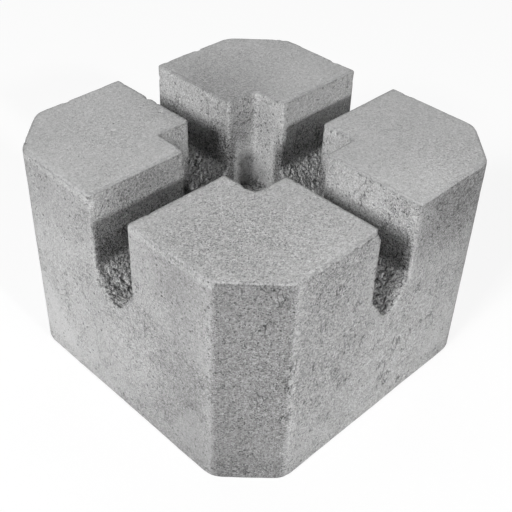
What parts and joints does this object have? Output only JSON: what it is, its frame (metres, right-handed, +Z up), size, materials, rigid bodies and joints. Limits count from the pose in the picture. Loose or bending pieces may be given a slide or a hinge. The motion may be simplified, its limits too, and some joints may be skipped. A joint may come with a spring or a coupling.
{
  "type": "concrete deck base block",
  "caption": "Square concrete base block with cut corners, crossing joist slots and a square post socket sunk in its top.",
  "frame": {"origin": "middle of the flat underside", "axes": "+Z up, the post socket's axis; +X and +Y along the two crossing joist slots, square to the block's sides"},
  "size_m": [0.267, 0.267, 0.179],
  "materials": {
    "concrete": "dry-cast concrete, light grey, fine sandy and matt, with pinholes; rough open aggregate in the slot beds and socket floor"
  },
  "bodies": {
    "root": {"block": "concrete"}
  },
  "joints": []
}
